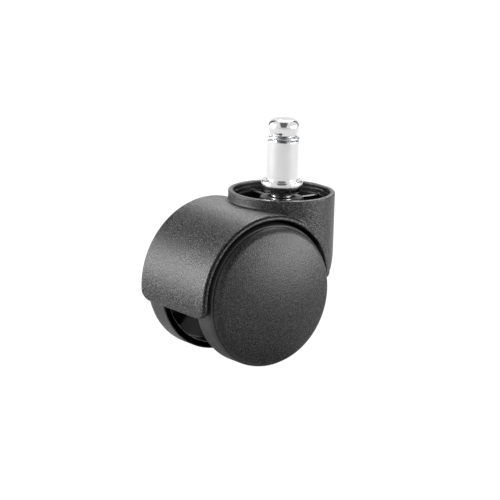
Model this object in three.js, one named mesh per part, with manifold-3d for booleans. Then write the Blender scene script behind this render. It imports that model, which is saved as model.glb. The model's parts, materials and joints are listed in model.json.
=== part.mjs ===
// A twin-wheel chair caster with a moulded hood, built as separate solids.
// Millimetres, +Z up. The origin is on the stem's axis, in the plane of the collar's seat, where the
// chair leg stands on the stem. +X is the way the caster rolls, so the wheels trail towards -X and
// turn on an axle along Y. The left wheel is on the +Y side.
import * as THREE from "three";
import { mergeVertices } from "three/addons/utils/BufferGeometryUtils.js";
import Module from "manifold-3d";

const wasm = await Module();
wasm.setup();

// ---------- Driving dimensions ----------

const WHEEL_DIAMETER = 50;
const AXLE_OFFSET = 18; // stem axis back to the axle
const WHEEL_GAP = 20; // between the two rims' inner edges
const TREAD_WIDTH = 8.7;

const RUNNING = 0.12; // radial clearance of a part that turns
const SEATED = 0.08; // gap that a pressed-in part keeps in its seat

// Hood and cup
const WELL_CLEARANCE = 1.2; // wheel to the inside of the hood
const HOOD_WALL = 1.9;
const LIP_PROUD = 0.4; // how far the bead round the wheel arch stands out of the hood's side
const LIP_WIDTH = 1.1;
const LIP_GROOVE = 0.25; // the fine groove between bead and shell
const EDGE_ROUND = 0.5;
const NOSE_DROP = 5.4; // the hood's lower edge below the axle's centre
const NOSE_CORNER = 4.8;
const CUP_DIAMETER = 37.2;
const CUP_WALL = 1.8;
const CUP_RIM_DROP = 4; // seat plane to the cup's rim
const RIM_OVER_HOOD = 3.4; // the cup's rim above the hood's highest line
const RIM_CHAMFER = 0.4;
const FLOOR_WALL = 1.6; // skin between the cup and the wheel wells
const TAIL_RADIUS = 33; // the cup's rear wall curves in to the wheels on this arc
const TAIL_START = 5; // rim to the height at which that arc begins
const TAIL_LIFT = 3; // the tail ends this far above the axle's centre
const CUP_RIBS = 4;
const CUP_RIB_WALL = 1.3;
const CUP_RIB_DROP = 3; // rim to the top of the ribs
const BOSS_WALL = 2.8;
const BOSS_DROP = 2.1; // rim to the top of the stem boss
const BOSS_ROUND = 0.8;
const BOSS_FLOOR = 2.5;

// The web between the wheels
const WEB_WALL = 3;
const WEB_RIB_WALL = 1.4;
const WEB_RIB_ANGLES = [108, 152]; // degrees round the axle from +X, towards +Z
const WEB_REAR_ANGLE = 14;
const WEB_BOSS_ANGLES = [198, 333]; // where the web's lower edges meet the axle boss
const AXLE_BOSS_WALL = 4;
const AXLE_BOSS_SHORT = 1; // the boss ends this far inside the rims' inner edges
const WEB_RIB_SHORT = 1.4;

// Stem
const SHANK_RADIUS = 5.5;
const STEM_LENGTH = 21.3; // seat to the stem's top
const COLLAR_REACH = 1.8; // the collar beyond the shank
const COLLAR_HEIGHT = 4.6;
const COLLAR_ROUND = 0.6;
const COLLAR_UNDER_ROUND = 2.3; // the full round under the collar
const PINTLE_RADIUS = 3.9;
const PINTLE_DEPTH = 26.5; // seat down to the pintle's end
const PINTLE_CHAMFER = 1;
const GROOVE_BOTTOM = 13.8; // seat up to the ring's groove
const GROOVE_HEIGHT = 1.8;
const GROOVE_CUT = 1.5;
const GROOVE_CHAMFER = 0.3;
const HEAD_CUT = 0.15; // the head is this much slimmer than the shank
const HEAD_ROUND = 1.85;
const HEAD_TAPER = 0.45; // how far the head draws in towards the groove
const HEAD_TAPER_HEIGHT = 1;
const GRIP_WIRE_RADIUS = 0.6;
const GRIP_PROUD = 0.15; // the ring outside the shank
const GRIP_GAP_ANGLE = 40; // degrees left open
const GRIP_GAP_DIRECTION = 150; // degrees from +X
const GRIP_TILT = 2.5; // degrees: the ring lies loose in its groove

// Socket parts under the stem
const SLEEVE_WALL = 0.7;
const SLEEVE_DROP = 0.8; // boss top to the sleeve's top
const SLEEVE_END = 0.2; // the sleeve ends this far above the snap ring's groove
const SNAP_GROOVE_CUT = 0.9;
const SNAP_GROOVE_DEPTH = 22.6; // seat down to the groove's upper side
const SNAP_GROOVE_HEIGHT = 1.4;
const SNAP_RING_THICKNESS = 0.8;
const SNAP_RING_GAP_ANGLE = 60;
const SNAP_RING_PLAY = 0.25; // ring to the socket's wall
const THRUST_DISC_THICKNESS = 0.9;

// Wheels
const RIM_WALL = 2.6;
const RIM_ROUND = 0.4; // on the tread's inner edge
const TREAD_EASE = 0.4; // the tread's fall at its outer edge
const TREAD_EASE_WIDTH = 2.2;
const DISC_INSET = 2.1; // the rim's outer face in to the disc
const DISC_WALL = 1.8;
const HUB_WALL = 2.58;
const HUB_PROUD = 0.7; // the hub's outer end beyond the rim's outer face
const WHEEL_RIBS = 8;
const WHEEL_RIB_WALL = 1.3;
const WHEEL_RIB_INSET = 1.6; // the ribs stand back from the rim's inner edge
const BUSH_WALL = 1.1;
const COVER_SEAM = 0.25;
const COVER_WALL = 1.7;
const COVER_STEP = 0.5; // the cover's edge inside the tread's radius
const COVER_CORNER = 3.2;
const COVER_CORNER_SINK = 0.75; // the corner's centre below the cover's edge
const COVER_EDGE_TILT = 18; // degrees, the dome's slope where the corner round ends
const COVER_SKIRT = 1.6; // how far the cover's snap skirt goes into the rim
const COVER_SKIRT_WALL = 1.3;

// Axle and its fasteners
const AXLE_RADIUS = 3;
const AXLE_CHAMFER = 0.5;
const AXLE_PAST_CLIP = 1.5;
const CLIP_PLAY = 0.3; // hub to clip
const CLIP_THICKNESS = 0.8;
const CLIP_GROOVE_CUT = 0.45;
const CLIP_REACH = 2.4; // the clip beyond the axle
const CLIP_GAP_ANGLE = 70;
const WASHER_THICKNESS = 0.7;
const WASHER_SHORT = 0.4; // the washer's edge inside the hub's

const SUNK = 0.5; // how far a rib or wall runs into what it joins
const PAST = 1; // how far a cutting shape runs past the face that it opens

const FINE = 60; // steps round a large circle
const MEDIUM = 32; // steps round a small one

// ---------- Worked-out places ----------

const wheelRadius = WHEEL_DIAMETER / 2;
const wellRadius = wheelRadius + WELL_CLEARANCE;
const hoodRadius = wellRadius + HOOD_WALL;
const cupRadius = CUP_DIAMETER / 2;
const cupInner = cupRadius - CUP_WALL;
const hoodHalf = cupRadius - LIP_PROUD;
const rimZ = -CUP_RIM_DROP;
const axleX = -AXLE_OFFSET;
const axleZ = rimZ - RIM_OVER_HOOD - hoodRadius;
const tailX = cupRadius - TAIL_RADIUS;
const tailZ = rimZ - TAIL_START;
const tailEndZ = axleZ + TAIL_LIFT;

const socketRadius = PINTLE_RADIUS + RUNNING + SLEEVE_WALL + SEATED;
const bossRadius = socketRadius + BOSS_WALL;
const bossTop = rimZ - BOSS_DROP;
const thrustTop = -PINTLE_DEPTH - RUNNING;
const socketBottom = thrustTop - THRUST_DISC_THICKNESS - SEATED;
const bossBottom = socketBottom - BOSS_FLOOR;
const snapGrooveRadius = PINTLE_RADIUS - SNAP_GROOVE_CUT;

const rimInner = WHEEL_GAP / 2;
const rimOuter = rimInner + TREAD_WIDTH;
const rimBore = wheelRadius - RIM_WALL;
const bushRadius = AXLE_RADIUS + RUNNING + BUSH_WALL;
const hubRadius = bushRadius + HUB_WALL;
const hubOuter = rimOuter + HUB_PROUD;
const axleBossRadius = AXLE_RADIUS + AXLE_BOSS_WALL;
const axleBossHalf = rimInner - AXLE_BOSS_SHORT;
const clipLow = hubOuter + CLIP_PLAY;
const clipHigh = clipLow + CLIP_THICKNESS;
const clipGroove = AXLE_RADIUS - CLIP_GROOVE_CUT;
const axleHalf = clipHigh + AXLE_PAST_CLIP;

const degrees = THREE.MathUtils.degToRad;

// ---------- Shape helpers ----------

// A closed three.js geometry as a solid that can be joined and cut.
function solid(geometry) {
  const bare = geometry.clone();
  bare.deleteAttribute("normal");
  bare.deleteAttribute("uv");
  const merged = mergeVertices(bare, 1e-4);
  return new wasm.Manifold(
    new wasm.Mesh({
      numProp: 3,
      vertProperties: merged.attributes.position.array,
      triVerts: new Uint32Array(merged.index.array),
    }),
  );
}

function geometryOf(body) {
  const mesh = body.getMesh();
  const geometry = new THREE.BufferGeometry();
  geometry.setAttribute("position", new THREE.BufferAttribute(mesh.vertProperties, 3));
  geometry.setIndex(new THREE.BufferAttribute(mesh.triVerts, 1));
  geometry.computeVertexNormals();
  return geometry;
}

const joined = (bodies) => bodies.reduce((all, body) => all.add(body));
const cut = (body, tools) => tools.reduce((left, tool) => left.subtract(tool), body);

// A profile of [radius, height] turned about Y, or stood up to turn about Z. The profile runs with
// the material on its left, so its faces point outwards.
function turnedAboutY(profile, steps = FINE) {
  return new THREE.LatheGeometry(profile.map(([r, h]) => new THREE.Vector2(r, h)), steps);
}

const turnedAboutZ = (profile, steps = FINE) => turnedAboutY(profile, steps).rotateX(Math.PI / 2);

// Profiles of a plain cylinder and of a tube between two heights.
const rod = (radius, low, high) => [[0, low], [radius, low], [radius, high], [0, high]];

function tube(outer, inner, low, high) {
  return [[inner, low], [outer, low], [outer, high], [inner, high], [inner, low]];
}

const standing = (radius, low, high, steps) => solid(turnedAboutZ(rod(radius, low, high), steps));

// A cylinder along Y, centred on the middle plane.
function lying(radius, half, x, z, steps) {
  return solid(turnedAboutY(rod(radius, -half, half), steps).translate(x, 0, z));
}

// Points on an arc of a profile, from one angle to another in degrees.
function arc(centreR, centreH, radius, from, to, steps) {
  return Array.from({ length: steps + 1 }, (_, i) => {
    const angle = degrees(from + ((to - from) * i) / steps);
    return [centreR + radius * Math.cos(angle), centreH + radius * Math.sin(angle)];
  });
}

// A box between two corners.
function block(low, high) {
  const size = high.map((value, i) => value - low[i]);
  const middle = high.map((value, i) => (value + low[i]) / 2);
  return solid(new THREE.BoxGeometry(...size).translate(...middle));
}

// A flat ring with a gap towards +X, standing on Z 0.
function openRing(outer, inner, gapDegrees, thickness) {
  const half = degrees(gapDegrees / 2);
  const shape = new THREE.Shape();
  shape.absarc(0, 0, outer, half, 2 * Math.PI - half, false);
  shape.absarc(0, 0, inner, 2 * Math.PI - half, half, true);
  shape.closePath();
  return new THREE.ExtrudeGeometry(shape, { depth: thickness, bevelEnabled: false, curveSegments: 24 });
}

// ---------- Materials ----------

const plastic = (color, roughness) => new THREE.MeshStandardMaterial({ color, roughness, metalness: 0 });
const metal = (color, roughness) => new THREE.MeshStandardMaterial({ color, roughness, metalness: 1 });
const texturedNylon = plastic(0x2b2b2c, 0.6);
const smoothNylon = plastic(0x262627, 0.35);
const acetal = plastic(0xd8d6cf, 0.4);
const nickel = metal(0xe4e4e6, 0.12);
const steel = metal(0xa9abad, 0.35);
const springSteel = metal(0x8f9194, 0.3);

const caster = new THREE.Group();

function add(name, geometry, material, parent = caster) {
  const mesh = new THREE.Mesh(geometry, material);
  mesh.name = name;
  parent.add(mesh);
  return mesh;
}

// ---------- Hood ----------

// The hood's outline seen from the front: straight down its sides, with rounded lower corners.
function noseOutline(half) {
  const low = axleZ - NOSE_DROP;
  const outline = new THREE.Shape();
  outline.moveTo(-half, rimZ);
  outline.lineTo(-half, low + NOSE_CORNER);
  outline.absarc(-half + NOSE_CORNER, low + NOSE_CORNER, NOSE_CORNER, Math.PI, 1.5 * Math.PI, false);
  outline.absarc(half - NOSE_CORNER, low + NOSE_CORNER, NOSE_CORNER, 1.5 * Math.PI, 2 * Math.PI, false);
  outline.lineTo(half, rimZ);
  return outline;
}

// What the hood fills behind the stem: a round wall whose rear curves in towards the wheels and ends
// just above the axle.
function rearOutline() {
  const tail = lying(TAIL_RADIUS, cupRadius + PAST, tailX, tailZ, 2 * FINE);
  return standing(cupRadius, tailEndZ, rimZ).intersect(tail);
}

// The round fender over the wheels, with a bead round each wheel arch. Behind the stem it stays
// inside the cup's round wall, so that the bead runs out into that wall.
function fender() {
  const beadTop = wellRadius + LIP_WIDTH;
  const half = hoodHalf + LIP_PROUD;
  const side = [
    [0, half],
    [beadTop - LIP_PROUD, half],
    [beadTop, hoodHalf],
    [beadTop + LIP_GROOVE / 2, hoodHalf - LIP_GROOVE],
    [beadTop + LIP_GROOVE, hoodHalf],
    [hoodRadius - EDGE_ROUND, hoodHalf],
    [hoodRadius, hoodHalf - EDGE_ROUND],
  ];
  const farSide = side.map(([r, y]) => [r, -y]);
  const drum = solid(turnedAboutY([...farSide, ...side.toReversed()]).translate(axleX, 0, axleZ));
  const front = new THREE.ExtrudeGeometry(noseOutline(half), {
    depth: hoodRadius + AXLE_OFFSET,
    bevelEnabled: false,
    curveSegments: 8,
  });
  front.rotateX(Math.PI / 2).rotateZ(-Math.PI / 2);
  return drum.intersect(solid(front).add(rearOutline()));
}

// The round wall under the rim.
function cupWall() {
  const wall = solid(
    turnedAboutZ([
      [0, axleZ],
      [cupRadius, axleZ],
      [cupRadius, rimZ - RIM_CHAMFER],
      [cupRadius - RIM_CHAMFER, rimZ],
      [0, rimZ],
    ]),
  );
  return wall.intersect(rearOutline());
}

// The hollow inside the cup, down to the skin over the wheels.
function cupHollow() {
  const hollow = standing(cupInner, tailEndZ, rimZ + PAST);
  const tail = lying(TAIL_RADIUS - CUP_WALL, cupRadius, tailX, tailZ, 2 * FINE);
  const skin = lying(wellRadius + FLOOR_WALL, cupRadius + PAST, axleX, axleZ, FINE);
  return hollow.intersect(tail).subtract(skin);
}

// Radial ribs from the stem boss to the cup's wall, kept inside the outer walls.
function cupRibs(envelope) {
  const ribs = Array.from({ length: CUP_RIBS }, (_, i) => {
    const low = [bossRadius - SUNK, -CUP_RIB_WALL / 2, tailEndZ];
    const high = [cupInner + SUNK, CUP_RIB_WALL / 2, rimZ - CUP_RIB_DROP];
    return block(low, high).rotate([0, 0, (360 / CUP_RIBS) * i]);
  });
  return joined(ribs).intersect(envelope);
}

function stemBoss() {
  const top = arc(bossRadius - BOSS_ROUND, bossTop - BOSS_ROUND, BOSS_ROUND, 0, 90, 3);
  return solid(turnedAboutZ([[0, bossBottom], [bossRadius, bossBottom], ...top, [0, bossTop]], MEDIUM));
}

// The plate between the wheels that joins the axle boss and the stem boss to the hood, and the
// stiffening ribs across it.
function web() {
  const reach = wellRadius + FLOOR_WALL / 2;
  const shape = new THREE.Shape();
  shape.absarc(axleX, axleZ, reach, degrees(WEB_REAR_ANGLE), degrees(WEB_RIB_ANGLES.at(-1)), false);
  for (const angle of WEB_BOSS_ANGLES.map(degrees)) {
    const radius = axleBossRadius - SUNK;
    shape.lineTo(axleX + radius * Math.cos(angle), axleZ + radius * Math.sin(angle));
  }
  shape.lineTo(bossRadius - SUNK, bossBottom + SUNK);
  shape.closePath();
  const plate = new THREE.ExtrudeGeometry(shape, { depth: WEB_WALL, bevelEnabled: false, curveSegments: 24 });
  plate.rotateX(Math.PI / 2).translate(0, WEB_WALL / 2, 0);
  const ribHalf = rimInner - WEB_RIB_SHORT;
  const ribs = WEB_RIB_ANGLES.map((angle) => {
    const rib = block([0, -ribHalf, -WEB_RIB_WALL / 2], [reach, ribHalf, WEB_RIB_WALL / 2]);
    return rib.rotate([0, -angle, 0]).translate([axleX, 0, axleZ]);
  });
  const axleBoss = lying(axleBossRadius, axleBossHalf, axleX, axleZ, MEDIUM);
  return joined([solid(plate), axleBoss, ...ribs]);
}

function hood() {
  const well = lying(wellRadius, cupRadius + PAST, axleX, axleZ, FINE);
  const outside = fender().add(cupWall());
  const shell = cut(outside, [cupHollow(), well]);
  const ribs = cupRibs(cut(outside, [well]));
  return cut(joined([shell, ribs, stemBoss(), web()]), [
    standing(socketRadius, socketBottom, bossTop + PAST, MEDIUM),
    lying(AXLE_RADIUS + SEATED, axleBossHalf + PAST, axleX, axleZ, MEDIUM),
  ]);
}

add("hood", geometryOf(hood()), texturedNylon);

// ---------- Stem and socket ----------

// The stem's profile from the bottom up: pintle with the snap ring's groove, collar, shank, the grip
// ring's groove, and the head.
function stem() {
  const snapLow = -SNAP_GROOVE_DEPTH - SNAP_GROOVE_HEIGHT;
  const collarRadius = SHANK_RADIUS + COLLAR_REACH;
  const collarLow = COLLAR_UNDER_ROUND - COLLAR_HEIGHT;
  const grooveRadius = SHANK_RADIUS - GROOVE_CUT;
  const grooveTop = GROOVE_BOTTOM + GROOVE_HEIGHT;
  const headRadius = SHANK_RADIUS - HEAD_CUT;
  return [
    [0, -PINTLE_DEPTH],
    [PINTLE_RADIUS - PINTLE_CHAMFER, -PINTLE_DEPTH],
    [PINTLE_RADIUS, -PINTLE_DEPTH + PINTLE_CHAMFER],
    [PINTLE_RADIUS, snapLow],
    [snapGrooveRadius, snapLow],
    [snapGrooveRadius, -SNAP_GROOVE_DEPTH],
    [PINTLE_RADIUS, -SNAP_GROOVE_DEPTH],
    [PINTLE_RADIUS, -COLLAR_HEIGHT],
    ...arc(collarRadius - COLLAR_UNDER_ROUND, collarLow, COLLAR_UNDER_ROUND, -90, 0, 6),
    [collarRadius, -COLLAR_ROUND],
    [collarRadius - COLLAR_ROUND, 0],
    [SHANK_RADIUS, 0],
    [SHANK_RADIUS, GROOVE_BOTTOM - GROOVE_CHAMFER],
    [SHANK_RADIUS - GROOVE_CHAMFER, GROOVE_BOTTOM],
    [grooveRadius, GROOVE_BOTTOM],
    [grooveRadius, grooveTop],
    [headRadius - HEAD_TAPER, grooveTop],
    [headRadius, grooveTop + HEAD_TAPER_HEIGHT],
    ...arc(headRadius - HEAD_ROUND, STEM_LENGTH - HEAD_ROUND, HEAD_ROUND, 0, 90, 6),
    [0, STEM_LENGTH],
  ];
}

// The split wire ring that springs out against the socket in the chair's leg.
function gripRing() {
  const radius = SHANK_RADIUS + GRIP_PROUD - GRIP_WIRE_RADIUS;
  const start = degrees(GRIP_GAP_ANGLE / 2);
  const sweep = 2 * Math.PI - 2 * start;
  const steps = 36;
  const points = Array.from({ length: steps + 1 }, (_, i) => {
    const angle = start + (sweep * i) / steps;
    return new THREE.Vector3(radius * Math.cos(angle), radius * Math.sin(angle), 0);
  });
  const wire = new THREE.Shape().absarc(0, 0, GRIP_WIRE_RADIUS, 0, 2 * Math.PI, false);
  const extrudePath = new THREE.CatmullRomCurve3(points);
  return new THREE.ExtrudeGeometry(wire, { extrudePath, steps, bevelEnabled: false, curveSegments: 5 });
}

// The sleeve that the pintle turns in, the snap ring that keeps it there, and the disc it stands on.
function sleeve() {
  const top = bossTop - SLEEVE_DROP;
  const bottom = -SNAP_GROOVE_DEPTH + SLEEVE_END;
  return turnedAboutZ(tube(socketRadius - SEATED, PINTLE_RADIUS + RUNNING, bottom, top), MEDIUM);
}

function snapRing() {
  const inner = snapGrooveRadius + SEATED;
  const middle = -SNAP_GROOVE_DEPTH - SNAP_GROOVE_HEIGHT / 2;
  const ring = openRing(socketRadius - SNAP_RING_PLAY, inner, SNAP_RING_GAP_ANGLE, SNAP_RING_THICKNESS);
  return ring.translate(0, 0, middle - SNAP_RING_THICKNESS / 2);
}

const thrustDisc = rod(socketRadius - SEATED, thrustTop - THRUST_DISC_THICKNESS, thrustTop);

add("stem", turnedAboutZ(stem(), MEDIUM), nickel);
const grip = add("grip_ring", gripRing(), springSteel);
grip.rotation.set(0, degrees(GRIP_TILT), degrees(GRIP_GAP_DIRECTION));
grip.position.z = GROOVE_BOTTOM + GROOVE_HEIGHT / 2;
add("stem_sleeve", sleeve(), steel);
add("stem_snap_ring", snapRing(), springSteel);
add("thrust_disc", turnedAboutZ(thrustDisc, MEDIUM), steel);

// ---------- Axle ----------

// Half of the axle's profile, from its end inwards, with the groove for its clip.
function axle() {
  const end = [
    [0, axleHalf],
    [AXLE_RADIUS - AXLE_CHAMFER, axleHalf],
    [AXLE_RADIUS, axleHalf - AXLE_CHAMFER],
    [AXLE_RADIUS, clipHigh + SEATED],
    [clipGroove, clipHigh + SEATED],
    [clipGroove, clipLow - SEATED],
    [AXLE_RADIUS, clipLow - SEATED],
  ];
  return [...end.map(([r, y]) => [r, -y]), ...end.toReversed()];
}

add("axle", turnedAboutY(axle(), MEDIUM), steel).position.set(axleX, 0, axleZ);

// ---------- Wheels ----------

// The rim: tread, disc, hub and the ribs inside it. It is drawn for the +Y side.
function wheelRim() {
  const discOuter = rimOuter - DISC_INSET;
  const discInner = discOuter - DISC_WALL;
  const bore = bushRadius + SEATED;
  const turned = solid(
    turnedAboutY([
      [bore, rimInner],
      [hubRadius, rimInner],
      [hubRadius, discInner],
      [rimBore, discInner],
      [rimBore, rimInner],
      [wheelRadius - RIM_ROUND, rimInner],
      [wheelRadius, rimInner + RIM_ROUND],
      [wheelRadius, rimOuter - TREAD_EASE_WIDTH],
      [wheelRadius - TREAD_EASE, rimOuter],
      [rimBore, rimOuter],
      [rimBore, discOuter],
      [hubRadius, discOuter],
      [hubRadius, hubOuter],
      [bore, hubOuter],
      [bore, rimInner],
    ]),
  );
  const ribs = Array.from({ length: WHEEL_RIBS }, (_, i) => {
    const low = [hubRadius - SUNK, rimInner + WHEEL_RIB_INSET, -WHEEL_RIB_WALL / 2];
    const high = [rimBore + SUNK, discInner + SUNK, WHEEL_RIB_WALL / 2];
    return block(low, high).rotate([0, (360 / WHEEL_RIBS) * i, 0]);
  });
  return geometryOf(joined([turned, ...ribs]));
}

// The domed cover: a corner round that runs into a shallow dome, hollow inside, with a skirt that
// snaps into the rim.
function wheelCover() {
  const edge = rimOuter + COVER_SEAM;
  const tilt = 90 - COVER_EDGE_TILT;
  const cornerStart = THREE.MathUtils.radToDeg(Math.asin(COVER_CORNER_SINK / COVER_CORNER));
  const cornerR = wheelRadius - COVER_STEP - COVER_CORNER;
  const corner = arc(cornerR, edge - COVER_CORNER_SINK, COVER_CORNER, cornerStart, tilt, 4);
  const [meetR, meetY] = corner.at(-1);
  const domeRadius = meetR / Math.sin(degrees(COVER_EDGE_TILT));
  const domeY = meetY - domeRadius * Math.cos(degrees(COVER_EDGE_TILT));
  const dome = arc(0, domeY, domeRadius, tilt, 90, 4).slice(1, -1);
  const inside = arc(0, domeY, domeRadius - COVER_WALL, 90, tilt + 1, 3).slice(1);
  const skirtOuter = rimBore - RUNNING;
  const skirtInner = skirtOuter - COVER_SKIRT_WALL;
  const skirtEnd = rimOuter - COVER_SKIRT;
  return [
    [skirtInner, skirtEnd],
    [skirtOuter, skirtEnd],
    [skirtOuter, edge],
    ...corner,
    ...dome,
    [0, domeY + domeRadius],
    [0, domeY + domeRadius - COVER_WALL],
    ...inside,
    [skirtInner, edge],
    [skirtInner, skirtEnd],
  ];
}

const bush = tube(bushRadius, AXLE_RADIUS + RUNNING, rimInner, hubOuter);
const washerLow = (axleBossHalf + rimInner - WASHER_THICKNESS) / 2;
const washerHigh = washerLow + WASHER_THICKNESS;
const washer = tube(hubRadius - WASHER_SHORT, AXLE_RADIUS + RUNNING, washerLow, washerHigh);

function axleClip() {
  const ring = openRing(AXLE_RADIUS + CLIP_REACH, clipGroove + SEATED, CLIP_GAP_ANGLE, CLIP_THICKNESS);
  return ring.rotateX(-Math.PI / 2).translate(0, clipLow, 0);
}

// Both wheels and their fasteners are drawn for the +Y side, and turned round for the -Y side.
for (const [side, turn] of [["left", 0], ["right", Math.PI]]) {
  const wheel = new THREE.Group();
  wheel.position.set(axleX, 0, axleZ);
  wheel.rotation.z = turn;
  caster.add(wheel);
  add(`wheel_rim_${side}`, wheelRim(), smoothNylon, wheel);
  add(`wheel_cover_${side}`, turnedAboutY(wheelCover()), texturedNylon, wheel);
  add(`hub_bush_${side}`, turnedAboutY(bush, MEDIUM), acetal, wheel);
  add(`thrust_washer_${side}`, turnedAboutY(washer, MEDIUM), acetal, wheel);
  add(`axle_clip_${side}`, axleClip(), springSteel, wheel);
}

export default caster;
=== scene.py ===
import json
import math

import bpy
import numpy as np
from mathutils import Matrix, Vector


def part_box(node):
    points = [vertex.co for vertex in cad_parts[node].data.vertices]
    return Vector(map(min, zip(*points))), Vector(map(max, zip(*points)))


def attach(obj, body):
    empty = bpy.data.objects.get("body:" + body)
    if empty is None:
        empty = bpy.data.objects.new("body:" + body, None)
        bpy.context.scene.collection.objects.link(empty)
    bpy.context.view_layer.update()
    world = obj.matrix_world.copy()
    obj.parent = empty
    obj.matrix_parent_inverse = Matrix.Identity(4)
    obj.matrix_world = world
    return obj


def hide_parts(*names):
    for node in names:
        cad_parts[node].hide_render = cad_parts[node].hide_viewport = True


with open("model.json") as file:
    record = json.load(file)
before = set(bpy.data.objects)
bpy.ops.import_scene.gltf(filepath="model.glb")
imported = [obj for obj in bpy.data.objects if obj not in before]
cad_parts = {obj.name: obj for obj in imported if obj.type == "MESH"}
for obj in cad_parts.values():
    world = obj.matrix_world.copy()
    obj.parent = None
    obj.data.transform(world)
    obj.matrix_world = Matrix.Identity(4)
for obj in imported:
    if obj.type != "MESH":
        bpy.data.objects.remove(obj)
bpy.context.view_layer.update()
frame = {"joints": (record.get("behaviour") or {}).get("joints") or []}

MM = 0.001


# ---------- Sizes from the frame ----------

def node_box(node):
    """Lowest and highest corner of a CAD node in millimetres."""
    low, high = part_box(node)
    return np.array(low) / MM, np.array(high) / MM


def joint_place(name):
    """Where a CAD joint's axis passes, in millimetres."""
    joint = next(j for j in frame["joints"] if j["name"] == name)
    return np.array(joint["pos_m"]) / MM


AXLE_X, _, AXLE_Z = joint_place("wheel_left_spin")
HOOD_LOW, HOOD_HIGH = node_box("hood")
RIM_LOW, RIM_HIGH = node_box("wheel_rim_left")
COVER_LOW, COVER_HIGH = node_box("wheel_cover_left")
BUSH_LOW, BUSH_HIGH = node_box("hub_bush_left")
WASHER_LOW, WASHER_HIGH = node_box("thrust_washer_left")
CLIP_LOW, CLIP_HIGH = node_box("axle_clip_left")
_, AXLE_HIGH = node_box("axle")
STEM_LOW, STEM_HIGH = node_box("stem")
SLEEVE_LOW, SLEEVE_HIGH = node_box("stem_sleeve")
SNAP_LOW, SNAP_HIGH = node_box("stem_snap_ring")
DISC_LOW, DISC_HIGH = node_box("thrust_disc")

WHEEL_R = RIM_HIGH[2] - AXLE_Z
RIM_INNER = RIM_LOW[1]
HUB_OUTER = RIM_HIGH[1]
HUB_PROUD = 0.7
RIM_OUTER = HUB_OUTER - HUB_PROUD
HOOD_R = AXLE_X - HOOD_LOW[0]
CUP_R = HOOD_HIGH[0]
CUP_RIM = HOOD_HIGH[2]

# ---------- Details of the mouldings, as the CAD has them ----------

# Millimetres, and degrees about the axle from +X towards +Z.
SHELL_WALL = 1.9
WELL_R = HOOD_R - SHELL_WALL
LIP_PROUD = 0.4
LIP_WIDTH = 1.1
LIP_ROUND = 0.42 * LIP_WIDTH
LIP_GROOVE_DEPTH = 0.4
LIP_GROOVE_HALF = 0.2
LIP_GROOVE_EDGE = 0.12
SHELL_ROUND = 0.6
EDGE_ROUND = 0.35
NOSE_Z = AXLE_Z - 5.4
NOSE_CORNER = 4.8
CUP_WALL = 1.8
CUP_STEP = 0.3
CUP_STEP_DROP = 1.6
FLOOR_WALL = 1.6
TAIL_R = 33
TAIL_START = 5
TAIL_LIFT = 3
CUP_RIB_HALF = 0.65
CUP_RIB_DROP = 3
BOSS_R = 7.6
BOSS_DROP = 2.1
BOSS_ROUND = 0.8
BOSS_UNDER_ROUND = 0.5
BOSS_FLOOR = 2.5
WEB_HALF = 1.5
WEB_REAR_ANGLE = 14
WEB_RIB_ANGLES = (108, 152)
WEB_BOSS_ANGLES = (198, 333)
WEB_RIB_HALF = 0.7
AXLE_BOSS_R = 7
AXLE_BOSS_SHORT = 1
AXLE_BOSS_ROUND = 0.5
WEB_RIB_SHORT = 1.4
MOULD_FILLET = 0.45
CUP_RIM_ROUND = 0.45
CUP_FILLET = 0.5
HOLLOW_ROUND = 0.4
RIB_ROUND = 0.3
WELL_EDGE = 0.25
BORE_EDGE = 0.3

RIM_WALL = 2.6
TREAD_ROUND = 0.4
TREAD_EASE = 0.4
TREAD_EASE_WIDTH = 2.2
DISC_INSET = 2.1
DISC_WALL = 1.8
WHEEL_RIBS = 8
WHEEL_RIB_HALF = 0.65
WHEEL_RIB_INSET = 1.6
WHEEL_RIB_FILLET = 0.35
HUB_WALL = 2.58
HUB_ROUND = 0.35
HUB_BORE_EDGE = 0.25

COVER_SEAM = 0.25
COVER_WALL = 1.7
COVER_CORNER = 3.2
COVER_CORNER_SINK = 0.75
COVER_EDGE_TILT = 18
COVER_SKIRT_WALL = 1.3

# Gaps round seated and running pieces, and how far joined shapes reach into each other.
SEATED = 0.08
RUNNING = 0.12
SUNK = 0.5

# ---------- Signed-distance shapes ----------


def rounded_and(a, b, r):
    """Where both shapes are, with the edge between them rounded."""
    return np.minimum(np.maximum(a, b), -r) + np.hypot(np.maximum(a + r, 0), np.maximum(b + r, 0))


def rounded_or(a, b, r):
    """Where either shape is, with a fillet in the corner between them."""
    return -rounded_and(-a, -b, r)


def minus(a, b, r):
    """The first shape without the second, with the cut's edge rounded."""
    return rounded_and(a, -b, r)


def half_plane(u, v, start, end):
    """Distance outside the line from start to end of a shape that lies on its left."""
    du, dv = end[0] - start[0], end[1] - start[1]
    return ((u - start[0]) * dv - (v - start[1]) * du) / math.hypot(du, dv)


def polar(radius, degrees, centre=(0.0, 0.0)):
    """The point at an angle on a circle."""
    angle = math.radians(degrees)
    return centre[0] + radius * math.cos(angle), centre[1] + radius * math.sin(angle)


def rear_outline(x, z, cup):
    """What the hood fills behind the stem: the cup's round wall, whose rear curves in to the wheels."""
    tail = np.hypot(x - (CUP_R - TAIL_R), z - (CUP_RIM - TAIL_START)) - TAIL_R
    return rounded_and(np.maximum(cup - CUP_R, tail), AXLE_Z + TAIL_LIFT - z, EDGE_ROUND)


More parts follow.
